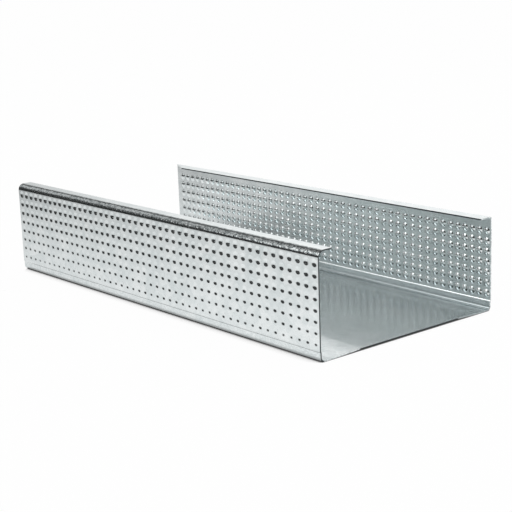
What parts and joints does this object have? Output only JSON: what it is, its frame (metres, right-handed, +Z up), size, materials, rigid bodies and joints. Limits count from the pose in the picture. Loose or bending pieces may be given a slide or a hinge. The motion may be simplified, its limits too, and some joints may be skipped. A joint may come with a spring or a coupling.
{
  "type": "drywall track",
  "caption": "Straight galvanised drywall track with dimpled flanges of unequal height, inward lips and a plain web, cut square, for framing board walls and ceilings.",
  "frame": {"origin": "middle of the length and of the web's width, on the plane the web lies on", "axes": "+X along the length, +Y across the web from the tall flange to the short one, +Z up out of the open side"},
  "size_m": [0.22, 0.1, 0.0438],
  "materials": {
    "galvanised_sheet": "hot-dip galvanised, bright with a soft spangle"
  },
  "bodies": {
    "root": {"lipped_channel": "galvanised_sheet"}
  },
  "joints": []
}
